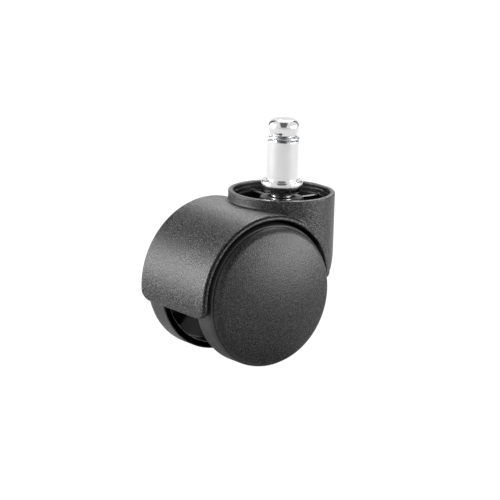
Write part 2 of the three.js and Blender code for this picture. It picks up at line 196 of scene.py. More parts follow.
def fender(x, side, z, rho, cup):
    """The round shell over the wheels, with the lip round each wheel arch and the rounded nose."""
    half = CUP_R - LIP_PROUD
    shell = rounded_and(rho - HOOD_R, side - half, SHELL_ROUND)
    lip_middle = WELL_R + LIP_WIDTH / 2
    lip = rounded_and(np.abs(rho - lip_middle) - LIP_WIDTH / 2, side - CUP_R, LIP_ROUND)
    groove_middle = WELL_R + LIP_WIDTH + LIP_GROOVE_HALF
    groove = np.maximum(np.abs(rho - groove_middle) - LIP_GROOVE_HALF, half - LIP_GROOVE_DEPTH - side)
    shell = minus(shell, groove, LIP_GROOVE_EDGE)
    nose = rounded_and(side - CUP_R, NOSE_Z - z, NOSE_CORNER)
    kept = np.minimum(x, rear_outline(x, z, cup))
    return tuple(np.maximum(rounded_and(part, nose, EDGE_ROUND), kept) for part in (shell, lip))


def cup_hollow(x, z, rho, cup):
    """The space inside the cup, down to the skin over the wheels, with fine steps in its wall."""
    depth = CUP_RIM - z
    inner = CUP_R - CUP_WALL
    first = np.maximum(cup - inner, depth - CUP_STEP_DROP)
    second = np.maximum(cup - (inner - CUP_STEP), CUP_STEP_DROP - depth)
    second = np.maximum(second, depth - 2 * CUP_STEP_DROP)
    third = np.maximum(cup - (inner - 2 * CUP_STEP), 2 * CUP_STEP_DROP - depth)
    stepped = np.minimum(np.minimum(first, second), third)
    tail = np.hypot(x - (CUP_R - TAIL_R), z - (CUP_RIM - TAIL_START)) - (TAIL_R - CUP_WALL)
    walls = rounded_and(stepped, tail, MOULD_FILLET)
    return rounded_and(walls, WELL_R + FLOOR_WALL - rho, MOULD_FILLET)


def cup_ribs(x, y, z, cup):
    """Radial ribs between the stem boss and the cup's wall."""
    across = np.minimum(np.abs(x), np.abs(y))
    rib = rounded_and(across - CUP_RIB_HALF, z - (CUP_RIM - CUP_RIB_DROP), RIB_ROUND)
    return np.maximum(rib, cup - (CUP_R - CUP_WALL + SUNK))


def web(x, side, z, rho):
    """The plate between the wheels with its stiffening ribs and the axle boss."""
    reach = WELL_R + FLOOR_WALL / 2
    centre = (AXLE_X, AXLE_Z)
    corners = [
        polar(reach, WEB_RIB_ANGLES[-1], centre),
        *[polar(AXLE_BOSS_R - SUNK, angle, centre) for angle in WEB_BOSS_ANGLES],
        (BOSS_R - SUNK, BOSS_BOTTOM + SUNK),
        polar(reach, WEB_REAR_ANGLE, centre),
    ]
    plate = rho - reach
    for start, end in zip(corners, corners[1:]):
        plate = np.maximum(plate, half_plane(x, z, start, end))
    body = rounded_and(plate, side - WEB_HALF, RIB_ROUND)
    for angle in WEB_RIB_ANGLES:
        cos, sin = polar(1, angle)
        along = (x - AXLE_X) * cos + (z - AXLE_Z) * sin
        across = np.abs((z - AXLE_Z) * cos - (x - AXLE_X) * sin)
        rib = rounded_and(across - WEB_RIB_HALF, side - (RIM_INNER - WEB_RIB_SHORT), RIB_ROUND)
        rib = np.maximum(rib, np.maximum(along - reach, -along))
        body = rounded_or(body, rib, MOULD_FILLET)
    boss = rounded_and(rho - AXLE_BOSS_R, side - (RIM_INNER - AXLE_BOSS_SHORT), AXLE_BOSS_ROUND)
    return rounded_or(body, boss, MOULD_FILLET)


SOCKET_R = SLEEVE_HIGH[0] + SEATED
SOCKET_BOTTOM = DISC_LOW[2] - SEATED
BOSS_BOTTOM = SOCKET_BOTTOM - BOSS_FLOOR


def hood_field(x, y, z):
    """The hood: a cup on a fender, hollowed from above and below, with a boss, ribs and a web inside."""
    side = np.abs(y)
    rho = np.hypot(x - AXLE_X, z - AXLE_Z)
    cup = np.hypot(x, y)
    shell, lip = fender(x, side, z, rho, cup)
    cup_wall = rounded_and(rear_outline(x, z, cup), z - CUP_RIM, CUP_RIM_ROUND)
    outside = rounded_or(shell, cup_wall, CUP_FILLET)
    outside = np.minimum(outside, lip)
    hollowed = minus(outside, cup_hollow(x, z, rho, cup), HOLLOW_ROUND)
    skin = minus(hollowed, rho - WELL_R, WELL_EDGE)
    ribs = np.maximum(np.maximum(cup_ribs(x, y, z, cup), outside), WELL_R - rho)
    body = rounded_or(skin, ribs, MOULD_FILLET)
    boss_top = CUP_RIM - BOSS_DROP
    boss = rounded_and(cup - BOSS_R, z - boss_top, BOSS_ROUND)
    boss = rounded_and(boss, BOSS_BOTTOM - z, BOSS_UNDER_ROUND)
    body = rounded_or(body, boss, MOULD_FILLET)
    body = rounded_or(body, web(x, side, z, rho), MOULD_FILLET)
    socket = np.maximum(cup - SOCKET_R, SOCKET_BOTTOM - z)
    body = minus(body, socket, BORE_EDGE)
    return minus(body, rho - (AXLE_HIGH[2] - AXLE_Z + SEATED), BORE_EDGE)


def rim_field(x, y, z):
    """The left wheel's rim about an axle along Y through the origin of x and z."""
    rho = np.hypot(x, z)
    bore_r = WHEEL_R - RIM_WALL
    disc_outer = RIM_OUTER - DISC_INSET
    disc_inner = disc_outer - DISC_WALL
    eased = (rho - WHEEL_R) + np.maximum(y - (RIM_OUTER - TREAD_EASE_WIDTH), 0) ** 2 * (
        TREAD_EASE / TREAD_EASE_WIDTH**2
    )
    band = np.maximum(eased, bore_r - rho)
    ends = np.abs(y - (RIM_INNER + RIM_OUTER) / 2) - (RIM_OUTER - RIM_INNER) / 2
    band = rounded_and(band, ends, TREAD_ROUND)
    disc_half = DISC_WALL / 2
    disc = np.maximum(np.abs(y - (disc_outer - disc_half)) - disc_half, rho - bore_r - SUNK)
    hub_r = BUSH_HIGH[2] - AXLE_Z + SEATED + HUB_WALL
    hub_ends = np.abs(y - (RIM_INNER + HUB_OUTER) / 2) - (HUB_OUTER - RIM_INNER) / 2
    hub = rounded_and(rho - hub_r, hub_ends, HUB_ROUND)
    body = rounded_or(rounded_or(band, disc, MOULD_FILLET), hub, MOULD_FILLET)
    turn = 2 * math.pi / WHEEL_RIBS
    angle = np.arctan2(z, x)
    off = angle - np.round(angle / turn) * turn
    across = np.abs(rho * np.sin(off)) - WHEEL_RIB_HALF
    ribs = rounded_and(across, RIM_INNER + WHEEL_RIB_INSET - y, RIB_ROUND)
    ribs = np.maximum(ribs, np.maximum(rho - bore_r - SUNK, y - disc_inner - SUNK))
    body = rounded_or(body, ribs, WHEEL_RIB_FILLET)
    return minus(body, rho - (hub_r - HUB_WALL), HUB_BORE_EDGE)


def open_ring_field(outer, inner, gap_degrees, low, high, edge):
    """A flat split ring standing on Z, its gap towards +X, with rounded edges."""
    gap_x, gap_y = polar(1, gap_degrees / 2)
    middle, half = (low + high) / 2, (high - low) / 2

    def field(x, y, z):
        r = np.hypot(x, y)
        ring = rounded_and(r - outer, inner - r, edge)
        opening = x * gap_y - np.abs(y) * gap_x
        flat = rounded_and(ring, opening, 3 * edge)
        return rounded_and(flat, np.abs(z - middle) - half, edge)

    return field


# ---------- Meshes ----------

# Layers of the grid that are worked out at once.
SLAB = 8
# Half the step that a slope is measured over, in millimetres, and the least slope that is trusted.
SLOPE_STEP = 0.02
LEAST_SLOPE = 0.2
MOST_TRIANGLES = 185000
# Steps along a fillet, and the most of a side that one may take.
FILLET_STEPS = 5
FILLET_SHARE = 0.45


def cell_corners(axis):
    """The four cells round a grid edge along an axis, anticlockwise as seen from that axis's end."""
    u, v = (axis + 1) % 3, (axis + 2) % 3
    corners = []
    for back_u, back_v in ((1, 1), (0, 1), (0, 0), (1, 0)):
        offset = np.zeros(3, int)
        offset[u], offset[v] = -back_u, -back_v
        corners.append(offset)
    return corners


def surface_net(field, low, high, pitch):
    """Points and quads of the surface where the field is zero: one point in each cell it crosses."""
    axes = [np.arange(a, b + pitch, pitch) for a, b in zip(low, high)]
    shape = tuple(len(a) for a in axes)
    x, y, z = np.meshgrid(*axes, indexing="ij", sparse=True)
    slabs = [field(x[i : i + SLAB], y, z) for i in range(0, shape[0], SLAB)]
    values = np.concatenate([np.broadcast_to(s, (s.shape[0], *shape[1:])) for s in slabs])
    inside = values < 0
    stride = np.array([shape[1] * shape[2], shape[2], 1])
    quads, cells, crossings = [], [], []
    for axis in range(3):
        step = np.zeros(3, int)
        step[axis] = 1
        before = tuple(slice(0, n - 1) if i == axis else slice(None) for i, n in enumerate(shape))
        after = tuple(slice(1, n) if i == axis else slice(None) for i, n in enumerate(shape))
        edges = np.argwhere(inside[before] != inside[after])
        here = values[tuple(edges.T)]
        there = values[tuple((edges + step).T)]
        point = edges + np.outer(here / (here - there), step)
        ring = np.stack([(edges + offset) @ stride for offset in cell_corners(axis)], axis=1)
        entering = here > 0
        ring[entering] = ring[entering][:, ::-1]
        quads.append(ring)
        cells.append(ring.ravel())
        crossings.append(np.repeat(point, 4, axis=0))
    _, index = np.unique(np.concatenate(cells), return_inverse=True)
    crossing = np.concatenate(crossings)
    count = np.bincount(index)
    points = np.stack([np.bincount(index, crossing[:, i]) / count for i in range(3)], axis=1)
    return points * pitch + np.array(low), index.reshape(-1, 4)


def gradient(field, points):
    """The field's slope at each point, by differences over a small step to both sides."""
    slopes = []
    for axis in range(3):
        offset = np.zeros(3)
        offset[axis] = SLOPE_STEP
        slopes.append(field(*(points + offset).T) - field(*(points - offset).T))
    return np.stack(slopes, axis=1) / (2 * SLOPE_STEP)


def onto_surface(field, points, rounds, reach):
    """Moves the points along the field's slope until they lie on its surface."""
    for _ in range(rounds):
        slope = gradient(field, points)
        length = np.maximum(np.linalg.norm(slope, axis=1), LEAST_SLOPE)
        move = np.clip(field(*points.T) / length, -reach, reach)
        points = points - slope / length[:, None] * move[:, None]
    return points


def unit(vectors):
    """The vectors' directions, each 1 long."""
    return vectors / np.maximum(np.linalg.norm(vectors, axis=1), 1e-9)[:, None]


def mesh_object(name, points, faces, normals=None):
    """A smooth-shaded mesh object from points in millimetres, with the surface's own normals."""
    mesh = bpy.data.meshes.new(name)
    mesh.from_pydata((points * MM).tolist(), [], [list(face) for face in faces])
    mesh.validate()
    mesh.shade_smooth()
    if normals is not None:
        mesh.normals_split_custom_set_from_vertices(normals.tolist())
    made = bpy.data.objects.new(name, mesh)
    bpy.context.scene.collection.objects.link(made)
    return made


def vertices_of(mesh):
    co = np.empty(len(mesh.vertices) * 3)
    mesh.vertices.foreach_get("co", co)
    return co.reshape(-1, 3)


def decimated(name, points, faces, share):
    """The same surface with fewer triangles, most of them where it is curved."""
    rough = mesh_object(name, points, faces)
    modifier = rough.modifiers.new("decimate", "DECIMATE")
    modifier.ratio = share
    evaluated = rough.evaluated_get(bpy.context.evaluated_depsgraph_get())
    mesh = evaluated.to_mesh()
    kept_points = vertices_of(mesh) / MM
    kept_faces = [tuple(polygon.vertices) for polygon in mesh.polygons]
    evaluated.to_mesh_clear()
    rough_mesh = rough.data
    bpy.data.objects.remove(rough)
    bpy.data.meshes.remove(rough_mesh)
    return kept_points, kept_faces


def from_field(name, field, low, high, pitch, place=(0.0, 0.0, 0.0)):
    """A piece whose surface is where the field is zero, moved to its place."""
    margin = 2 * pitch
    points, quads = surface_net(field, np.array(low) - margin, np.array(high) + margin, pitch)
    points = onto_surface(field, points, 4, pitch / 2)
    faces = quads
    triangles = 2 * len(quads)
    if triangles > MOST_TRIANGLES:
        points, faces = decimated(name, points, quads, MOST_TRIANGLES / triangles)
        points = onto_surface(field, points, 2, pitch / 3)
    normals = unit(gradient(field, points))
    return mesh_object(name, points + np.array(place), faces, normals)


def filleted(corners):
    """Points and outward normals of a profile of (radius, height, fillet) corners.

    The profile runs with the material on its left. A fillet of None marks a point on a smooth
    curve, whose normal lies between those of its two sides.
    """
    closed = corners[0][:2] == corners[-1][:2]
    loop = corners[:-1] if closed else corners
    count = len(loop)
    places = [np.array(c[:2], float) for c in loop]
    points, normals = [], []

    def side_normal(start, end):
        direction = (end - start) / np.linalg.norm(end - start)
        return np.array([direction[1], -direction[0]])

    for i, (here, corner) in enumerate(zip(places, loop)):
        fillet = corner[2]
        if not closed and i in (0, count - 1):
            along = side_normal(places[0], places[1]) if i == 0 else side_normal(places[-2], places[-1])
            points.append(here)
            normals.append(along)
            continue
        back, ahead = places[i - 1], places[(i + 1) % count]
        n_back, n_ahead = side_normal(back, here), side_normal(here, ahead)
        if fillet is None:
            points.append(here)
            normals.append((n_back + n_ahead) / np.linalg.norm(n_back + n_ahead))
            continue
        to_back = (back - here) / np.linalg.norm(back - here)
        to_ahead = (ahead - here) / np.linalg.norm(ahead - here)
        half_angle = math.acos(np.clip(to_back @ to_ahead, -1, 1)) / 2
        room = FILLET_SHARE * min(np.linalg.norm(back - here), np.linalg.norm(ahead - here))
        reach = min(fillet / math.tan(half_angle), room)
        radius = reach * math.tan(half_angle)
        convex = n_back @ to_ahead < 0
        sign = 1 if convex else -1
        centre = here + to_back * reach - sign * n_back * radius
        for t in np.linspace(0, 1, FILLET_STEPS + 1):
            normal = n_back * (1 - t) + n_ahead * t
            normal /= np.linalg.norm(normal)
            points.append(centre + sign * radius * normal)
            normals.append(normal)
    return np.array(points), np.array(normals), closed


def turned(name, corners, steps=128, place=(0.0, 0.0, 0.0), about="z"):
    """A turned piece: its profile swept round an axis, with the profile's own normals."""
    outline, slope, closed = filleted(corners)
    angle = np.linspace(0, 2 * math.pi, steps, endpoint=False)
    cos, sin = np.cos(angle)[:, None], np.sin(angle)[:, None]
    flat = np.zeros_like(cos)

    def swept(values):
        radial, axial = values[:, 0][None], values[:, 1][None]
        return np.stack([radial * cos, radial * sin, axial + flat], axis=2)

    points, normals = swept(outline), swept(slope)
    rows = outline.shape[0]
    index = np.arange(steps * rows).reshape(steps, rows)
    following = np.roll(index, -1, axis=0)
    faces = []
    pairs = [(i, (i + 1) % rows) for i in range(rows if closed else rows - 1)]
    low_pole, high_pole = None, None
    if not closed:
        low_pole, high_pole = int(index[0, 0]), int(index[0, rows - 1])
    for i, j in pairs:
        here, across = index[:, i], following[:, i]
        up, up_across = index[:, j], following[:, j]
        if not closed and i == 0:
            faces += [(low_pole, int(b), int(a)) for a, b in zip(up, up_across)]
        elif not closed and j == rows - 1:
            faces += [(int(a), int(b), high_pole) for a, b in zip(here, across)]
        else:
            faces += [tuple(map(int, quad)) for quad in zip(here, across, up_across, up)]
    points, normals = points.reshape(-1, 3), normals.reshape(-1, 3)
    used = np.unique(np.concatenate([np.array(face) for face in faces]))
    renumber = np.full(len(points), -1)
    renumber[used] = np.arange(len(used))
    faces = [tuple(int(renumber[v]) for v in face) for face in faces]
    points, normals = points[used], normals[used]
    if about == "y":
        points, normals = points[:, [1, 2, 0]], normals[:, [1, 2, 0]]
    return mesh_object(name, points + np.array(place), faces, normals)


def arc_points(centre, radius, start, end, steps):
    """Smooth profile points on an arc, from one angle to another in degrees."""
    return [(*polar(radius, angle, centre), None) for angle in np.linspace(start, end, steps + 1)]


def copy_turned(piece, name):
    """The opposite wheel's copy of a piece: the same mesh turned half a turn about the axle's middle."""
    twin = piece.copy()
    twin.data = piece.data.copy()
    twin.name = twin.data.name = name
    middle = Vector((AXLE_X * MM, 0, AXLE_Z * MM))
    turn = Matrix.Translation(middle) @ Matrix.Rotation(math.pi, 4, "Z") @ Matrix.Translation(-middle)
    twin.data.transform(turn)
    bpy.context.scene.collection.objects.link(twin)
    return twin


# ---------- Materials ----------


class Shader:
    """A material's node tree, built one node at a time."""

    def __init__(self, name):
        self.material = bpy.data.materials.new(name)
        self.material.use_nodes = True
        self.tree = self.material.node_tree
        self.surface = self.tree.nodes["Principled BSDF"]
        self.place = self.node("ShaderNodeTexCoord").outputs["Object"]

    def node(self, kind, **settings):
        """A new node. A setting is the value of an input socket, or else one of the node's own."""
        made = self.tree.nodes.new(kind)
        for key, value in settings.items():
            if key in made.inputs:
                made.inputs[key].default_value = value
            else:
                setattr(made, key, value)
        return made

    def link(self, source, target):
        self.tree.links.new(source, target)

    def set(self, **values):
        """Sets the surface's own sockets, with an underscore for each space in a name."""
        for key, value in values.items():
            self.surface.inputs[key.replace("_", " ")].default_value = value

    def noise(self, scale, detail, stretch=(1, 1, 1)):
        """Noise of a real size: scale is in repeats per metre."""
        texture = self.node("ShaderNodeTexNoise", Scale=scale, Detail=detail)
        place = self.place
        if tuple(stretch) != (1, 1, 1):
            mapping = self.node("ShaderNodeMapping", Scale=stretch)
            self.link(place, mapping.inputs["Vector"])
            place = mapping.outputs["Vector"]
        self.link(place, texture.inputs["Vector"])
        return texture.outputs["Fac"]

    def ramp(self, value, stops):
        """The value carried to colours, by stops of (value, colour)."""
        ramp = self.node("ShaderNodeValToRGB")
        elements = ramp.color_ramp.elements
        while len(elements) < len(stops):
            elements.new(0.5)
        for element, (place, colour) in zip(elements, stops):
            element.position = place
            element.color = (*colour, 1)
        self.link(value, ramp.inputs["Fac"])
        return ramp.outputs["Color"]

    def spread(self, value, low, high, start=0.25, end=0.75):
        """The value's range from start to end carried to low and high."""
        made = self.node("ShaderNodeMapRange")
        for key, number in (("From Min", start), ("From Max", end), ("To Min", low), ("To Max", high)):
            made.inputs[key].default_value = number
        self.link(value, made.inputs["Value"])
        return made.outputs["Result"]

    def beyond(self, centre, section, radius):
        """Distance outside a cylinder in millimetres. Its section's two axes have a 1 in section."""
        off = self.node("ShaderNodeVectorMath", operation="SUBTRACT")
        off.inputs[1].default_value = np.array(centre) * MM
        flat = self.node("ShaderNodeVectorMath", operation="MULTIPLY")
        flat.inputs[1].default_value = np.array(section) / MM
        length = self.node("ShaderNodeVectorMath", operation="LENGTH")
        distance = self.node("ShaderNodeMath", operation="SUBTRACT")
        distance.inputs[1].default_value = radius
        self.link(self.place, off.inputs[0])
        self.link(off.outputs["Vector"], flat.inputs[0])
        self.link(flat.outputs["Vector"], length.inputs[0])
        self.link(length.outputs["Value"], distance.inputs[0])
        return distance.outputs[0]

    def outside_cup(self):
        """0 inside the hood's cup and 1 outside it. The change runs along the middle of its wall."""
        cup = self.beyond((0, 0, 0), (1, 1, 0), CUP_R)
        tail = self.beyond((CUP_R - TAIL_R, 0, CUP_RIM - TAIL_START), (1, 0, 1), TAIL_R)
        nearest = self.node("ShaderNodeMath", operation="MAXIMUM")
        self.link(cup, nearest.inputs[0])
        self.link(tail, nearest.inputs[1])
        return self.spread(nearest.outputs[0], 0, 1, *POLISH_ENDS)

    def faded(self, value, share, rest):
        """The value where the share is 1, and a level rest where it is 0."""
        mix = self.node("ShaderNodeMix", data_type="FLOAT")
        mix.inputs[2].default_value = rest
        self.link(share, mix.inputs[0])
        self.link(value, mix.inputs[3])
        return mix.outputs[0]

    def bumps(self, *layers):
        """Bumps one over another, each of (height, depth in millimetres)."""
        normal = None
        for height, depth in layers:
            bump = self.node("ShaderNodeBump", Strength=1.0, Distance=depth * MM)
            self.link(height, bump.inputs["Height"])
            if normal is not None:
                self.link(normal, bump.inputs["Normal"])
            normal = bump.outputs["Normal"]
        self.link(normal, self.surface.inputs["Normal"])


def grey(value):
    """A grey with a trace of blue."""
    return (value, value, value * 1.02)


# Where the polish of the cup's core ends, in millimetres from the cup's outer wall.
POLISH_ENDS = (-1.2, -0.7)
# The noise of the mould's grain in repeats per metre, and its middle value.
GRAIN_SCALE = 2400
GRAIN_MIDDLE = 0.46
FINE_SCALE = 6000
FINE_MIDDLE = 0.5
# Base colours of the moulded black: painted shade in the grain's hollows, its face, and how much paler a
# full speck of painted glint is.
HOLLOW_SHADE_GREY = 0.001
MOULDED_GREY = 0.01
SPECK_GLINT_GREY = 0.066


def textured_nylon(name, speckle):
    """Black nylon with a spark-eroded mould grain of about a third of a millimetre.

    The grain's tops are painted pale as painted glints, and its hollows painted darker as painted shade; the
    glints are stronger with a larger speckle. The core that forms the inside of the hood's cup is polished,
    so the grain stops at its rim.
    """
    shader = Shader(name)
    grained = shader.outside_cup()
    grain = shader.faded(shader.noise(GRAIN_SCALE, 1.5), grained, GRAIN_MIDDLE)
    fine = shader.faded(shader.noise(FINE_SCALE, 1), grained, FINE_MIDDLE)
    patches = shader.noise(120, 3)
    # The grain's tops get a painted highlight, pale specks that stand for glints, and its hollows a painted
    # shade darker than the face.
    pale = MOULDED_GREY + SPECK_GLINT_GREY * speckle
    colour = shader.ramp(grain, [(0.38, grey(HOLLOW_SHADE_GREY)), (0.5, grey(MOULDED_GREY)), (0.66, grey(pale))])
    shader.link(colour, shader.surface.inputs["Base Color"])
    shader.link(shader.spread(fine, 0.27, 0.40), shader.surface.inputs["Roughness"])
    shader.bumps((patches, 0.02), (fine, 0.03), (grain, 0.05 + 0.09 * speckle))
    shader.set(Specular_IOR_Level=0.36)
    return shader.material


def smooth_nylon():
    """Polished black nylon: faint flow marks and handling haze."""
    shader = Shader("smooth_nylon")
    flow = shader.noise(90, 4, (1, 2.5, 1))
    haze = shader.noise(600, 4)
    fine = shader.noise(5200, 2)
    colour = shader.ramp(flow, [(0.3, grey(0.018)), (0.7, grey(0.026))])
    shader.link(colour, shader.surface.inputs["Base Color"])
    shader.link(shader.spread(haze, 0.34, 0.46), shader.surface.inputs["Roughness"])
    shader.bumps((flow, 0.03), (fine, 0.006))
    return shader.material


def acetal():
    """Off-white bearing plastic, slightly waxy."""
    shader = Shader("acetal")
    cloud = shader.noise(300, 4)
    fine = shader.noise(4200, 2)
    colour = shader.ramp(cloud, [(0.3, (0.62, 0.60, 0.55)), (0.7, (0.72, 0.70, 0.64))])
    shader.link(colour, shader.surface.inputs["Base Color"])
    shader.link(shader.spread(fine, 0.34, 0.46), shader.surface.inputs["Roughness"])
    shader.bumps((fine, 0.01))
    shader.set(Subsurface_Weight=0.1, Subsurface_Scale=0.001)
    return shader.material


def metal(name, dark, light, roughness, marks, depth, stretch=(1, 1, 1)):
    """A metal with fine turned or drawn marks, in repeats per metre, and slightly uneven polish."""
    shader = Shader(name)
    turning = shader.noise(marks, 3, stretch)
    cloud = shader.noise(220, 4)
    colour = shader.ramp(cloud, [(0.3, dark), (0.7, light)])
    shader.link(colour, shader.surface.inputs["Base Color"])
    shader.link(shader.spread(turning, *roughness), shader.surface.inputs["Roughness"])
    shader.bumps((turning, depth))
    shader.set(Metallic=1.0)
    return shader.material


MATERIALS = {
    "textured_nylon": textured_nylon("textured_nylon", speckle=0.95),
    "textured_nylon_cover": textured_nylon("textured_nylon_cover", speckle=0.45),
    "smooth_nylon": smooth_nylon(),
    "acetal": acetal(),
    "bright_nickel": metal(
        "bright_nickel",
        dark=(0.87, 0.87, 0.88),
        light=(0.93, 0.93, 0.93),
        roughness=(0.09, 0.15),
        marks=900,
        depth=0.0008,
        stretch=(0.15, 0.15, 6),
    ),
    "spring_steel": metal(
        "spring_steel",
        dark=(0.50, 0.51, 0.52),
        light=(0.62, 0.63, 0.64),
        roughness=(0.18, 0.30),
        marks=1500,
        depth=0.0008,
    ),
    "zinc_steel": metal(
        "zinc_steel",
        dark=(0.60, 0.61, 0.62),
        light=(0.74, 0.75, 0.75),
        roughness=(0.28, 0.42),
        marks=1200,
        depth=0.004,
    ),
}


def settle(piece, body, material, node, finish=None):
    """Gives a piece its finish and its body, and lets it stand for its CAD node.

    The finish is the material of that name, unless the piece has one of its own.
    """
    piece.data.materials.append(MATERIALS[finish or material])
    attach(piece, body)
    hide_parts(node)


# ---------- Hood ----------

HOOD_PITCH = 0.28
hood = from_field("hood_moulding", hood_field, HOOD_LOW, HOOD_HIGH, HOOD_PITCH)
settle(hood, "hood", "textured_nylon", "hood")

# ---------- Stem and what it turns in ----------

SHANK_R = 5.5
HEAD_R = SHANK_R - 0.15
HEAD_NECK_R = HEAD_R - 0.8
HEAD_ROUND = 2.6
HEAD_BELLY = 6.0
HEAD_BELLY_ANGLE = 26
HEAD_NECK_HEIGHT = 0.25
COLLAR_R = STEM_HIGH[0]
COLLAR_HEIGHT = 4.6
COLLAR_ROUND = 1.0
COLLAR_UNDER_ROUND = 2.3
SLEEVE_WALL = 0.7
SLEEVE_EDGE = 0.12
DISC_EDGE = 0.15
PINTLE_R = SLEEVE_HIGH[0] - SLEEVE_WALL - RUNNING
PINTLE_LEAD = 1
GROOVE_LOW = 13.8
GROOVE_HIGH = GROOVE_LOW + 1.8
GROOVE_R = SHANK_R - 1.5
SNAP_GROOVE_R = PINTLE_R - 0.9
SNAP_GROOVE_TOP = -22.6
SNAP_GROOVE_BOTTOM = SNAP_GROOVE_TOP - 1.4
SNAP_GAP = 60
GRIP_WIRE_R = 0.6
GRIP_PROUD = 0.15
GRIP_GAP = 40
GRIP_TILT = 2.5
GRIP_TURN = 150
RING_EDGE = 0.1
SNAP_PITCH = 0.1


def stem():
    """The pin's profile from the pintle's end, over the collar and the shank, to the top of its head."""
    bottom, top = STEM_LOW[2], STEM_HIGH[2]
    belly = arc_points((HEAD_R - HEAD_BELLY, top - HEAD_ROUND), HEAD_BELLY, -HEAD_BELLY_ANGLE, 0, 8)
    head = arc_points((HEAD_R - HEAD_ROUND, top - HEAD_ROUND), HEAD_ROUND, 0, 90, 16)
    collar_under = (COLLAR_R - COLLAR_UNDER_ROUND, COLLAR_UNDER_ROUND - COLLAR_HEIGHT)
    collar_over = (COLLAR_R - COLLAR_ROUND, -COLLAR_ROUND)
    profile = [
        (0, bottom, None),
        (PINTLE_R - PINTLE_LEAD, bottom, 0.15),
        (PINTLE_R, bottom + PINTLE_LEAD, 0.3),
        (PINTLE_R, SNAP_GROOVE_BOTTOM, 0.1),
        (SNAP_GROOVE_R, SNAP_GROOVE_BOTTOM, 0.15),
        (SNAP_GROOVE_R, SNAP_GROOVE_TOP, 0.15),
        (PINTLE_R, SNAP_GROOVE_TOP, 0.1),
        (PINTLE_R, -COLLAR_HEIGHT, 0.2),
        *arc_points(collar_under, COLLAR_UNDER_ROUND, -90, 0, 14),
        *arc_points(collar_over, COLLAR_ROUND, 0, 90, 10),
        (SHANK_R, 0, 0.35),
        (SHANK_R, GROOVE_LOW, 0.3),
        (GROOVE_R, GROOVE_LOW, 0.3),
        (GROOVE_R, GROOVE_HIGH, 0.3),
        (HEAD_NECK_R, GROOVE_HIGH, 0.2),
        (belly[0][0], GROOVE_HIGH + HEAD_NECK_HEIGHT, 0.3),
        *belly[1:-1],
        *head,
        (0, top, None),
    ]
    return turned("stem_pin", profile, 160)


def grip_ring():
    """A split wire ring with rounded ends, lying a little askew in its groove."""
    wire = GRIP_WIRE_R
    radius = SHANK_R + GRIP_PROUD - wire
    steps, sides, caps = 120, 18, 5
    overrun = wire / radius
    start = math.radians(GRIP_GAP) / 2 + overrun
    rings = []
    for i in range(caps):
        lift = math.pi / 2 * (i + 0.5) / caps
        rings.append((start - overrun * math.cos(lift), wire * math.sin(lift)))
    span = 2 * math.pi - 2 * start
    rings += [(start + span * i / steps, wire) for i in range(steps + 1)]
    rings += [(2 * math.pi - angle, section) for angle, section in reversed(rings[:caps])]
    around = np.linspace(0, 2 * math.pi, sides, endpoint=False)
    points = []
    for angle, section in rings:
        r, rise = radius + section * np.cos(around), -section * np.sin(around)
        points.append(np.stack([r * math.cos(angle), r * math.sin(angle), rise], axis=1))
    points = np.concatenate(points)
    last = len(rings) - 1
    faces = []
    for i in range(last):
        for j in range(sides):
            k = (j + 1) % sides
            faces.append((i * sides + j, i * sides + k, (i + 1) * sides + k, (i + 1) * sides + j))
    faces.append(tuple(range(sides))[::-1])
    faces.append(tuple(last * sides + j for j in range(sides)))
    made = mesh_object("grip_ring_wire", points, faces)
    lift = Matrix.Translation((0, 0, (GROOVE_LOW + GROOVE_HIGH) / 2 * MM))
    tilt = Matrix.Rotation(math.radians(GRIP_TILT), 4, "Y")
    turn = Matrix.Rotation(math.radians(GRIP_TURN), 4, "Z")
    made.data.transform(lift @ (tilt @ turn))
    return made


def ring_profile(outer, inner, low, high, edge):
    """The closed profile of a flat ring or a tube, with rounded edges."""
    corners = ((inner, low), (outer, low), (outer, high), (inner, high), (inner, low))
    return [(*corner, edge) for corner in corners]


settle(stem(), "stem", "bright_nickel", "stem")
settle(grip_ring(), "stem", "spring_steel", "grip_ring")

sleeve_profile = ring_profile(SLEEVE_HIGH[0], PINTLE_R + RUNNING, SLEEVE_LOW[2], SLEEVE_HIGH[2], SLEEVE_EDGE)
settle(turned("stem_sleeve_bush", sleeve_profile), "hood", "zinc_steel", "stem_sleeve")

disc_profile = [
    (0, DISC_LOW[2], None),
    (DISC_HIGH[0], DISC_LOW[2], DISC_EDGE),
    (DISC_HIGH[0], DISC_HIGH[2], DISC_EDGE),
    (0, DISC_HIGH[2], None),
]
settle(turned("thrust_disc_plate", disc_profile), "hood", "zinc_steel", "thrust_disc")

snap_field = open_ring_field(
    -SNAP_LOW[0], SNAP_GROOVE_R + SEATED, SNAP_GAP, SNAP_LOW[2], SNAP_HIGH[2], RING_EDGE
)
snap_ring = from_field("stem_snap_ring_wire", snap_field, SNAP_LOW, SNAP_HIGH, SNAP_PITCH)
settle(snap_ring, "stem", "spring_steel", "stem_snap_ring")

# ---------- Axle, wheels and their fasteners ----------

WHEEL_PLACE = (AXLE_X, 0, AXLE_Z)
AXLE_R = AXLE_HIGH[2] - AXLE_Z
AXLE_LEAD = 0.5
CLIP_GROOVE_R = AXLE_R - 0.45
CLIP_GAP = 70
CLIP_PITCH = 0.11
BUSH_EDGE = 0.15
WASHER_EDGE = 0.12
WHEEL_PITCH = 0.34


def axle():
    """A rod with eased ends and a groove for a clip near each of them."""
    half = AXLE_HIGH[1]
    low, high = CLIP_LOW[1] - SEATED, CLIP_HIGH[1] + SEATED
    right = [
        (0, -half, None),
        (AXLE_R - AXLE_LEAD, -half, 0.1),
        (AXLE_R, AXLE_LEAD - half, 0.15),
        (AXLE_R, -high, 0.08),
        (CLIP_GROOVE_R, -high, 0.1),
        (CLIP_GROOVE_R, -low, 0.1),
        (AXLE_R, -low, 0.08),
    ]
    left = [(r, -h, fillet) for r, h, fillet in reversed(right)]
    return turned("axle_rod", right + left, 96, WHEEL_PLACE, "y")


